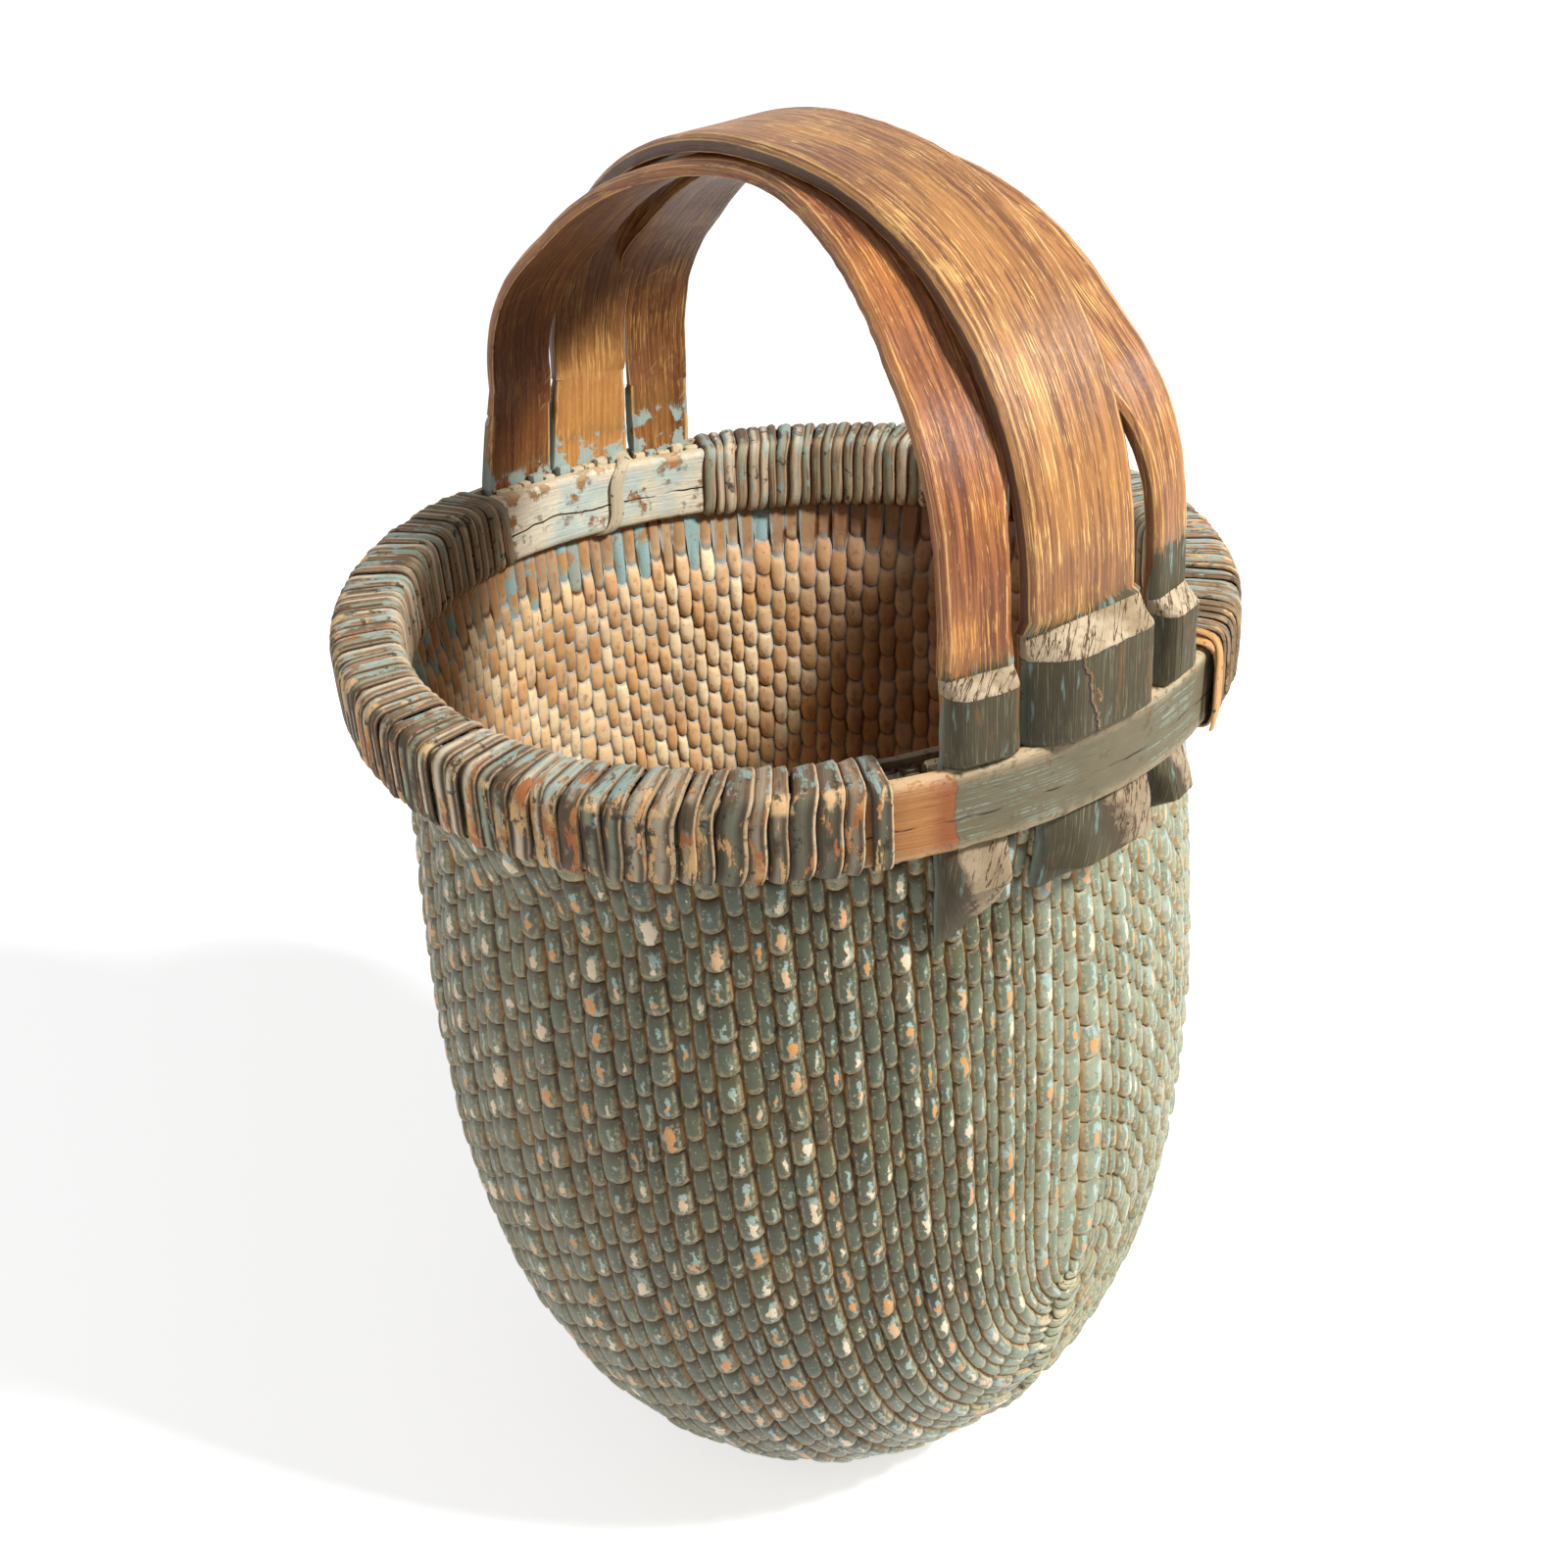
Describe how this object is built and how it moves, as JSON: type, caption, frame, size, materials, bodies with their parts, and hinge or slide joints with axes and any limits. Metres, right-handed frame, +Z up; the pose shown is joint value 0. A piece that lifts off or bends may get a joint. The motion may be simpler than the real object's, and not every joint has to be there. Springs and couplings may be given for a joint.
{
  "type": "handled woven basket",
  "caption": "Deep round-bottomed woven willow basket, rim clamped between bent wood hoops and bound with cane, with an overhead bentwood strip handle.",
  "frame": {"origin": "on the floor under the middle of the rim, on the flat of the basket's bottom", "axes": "+Z up; X runs along the handle from its left foot (-X) to its right foot (+X); -Y is the front"},
  "size_m": [0.3646, 0.3665, 0.61],
  "materials": {
    "painted_willow": "woven willow rods with worn grey-green paint outside and bare orange-brown wood inside",
    "faded_hoop": "bent wood with dusty pale blue paint, cracked and worn",
    "painted_hoop": "bent wood with worn olive green paint",
    "padding_rods": "bare willow rods",
    "rim_cane": "weathered split cane with paint remnants",
    "handle_wood": "bentwood worn smooth, golden brown, with grey-green painted block ends"
  },
  "bodies": {
    "root": {"woven_body": "painted_willow", "inner_hoop": "faded_hoop", "outer_hoop": "painted_hoop", "rim_padding_front": "padding_rods", "rim_padding_back": "padding_rods", "rim_binding_front": "rim_cane", "rim_binding_back": "rim_cane", "end_wrap": "rim_cane", "hoop_tie": "rim_cane", "handle_strip_middle": "handle_wood", "handle_strip_front": "handle_wood", "handle_strip_back": "handle_wood"}
  },
  "joints": []
}
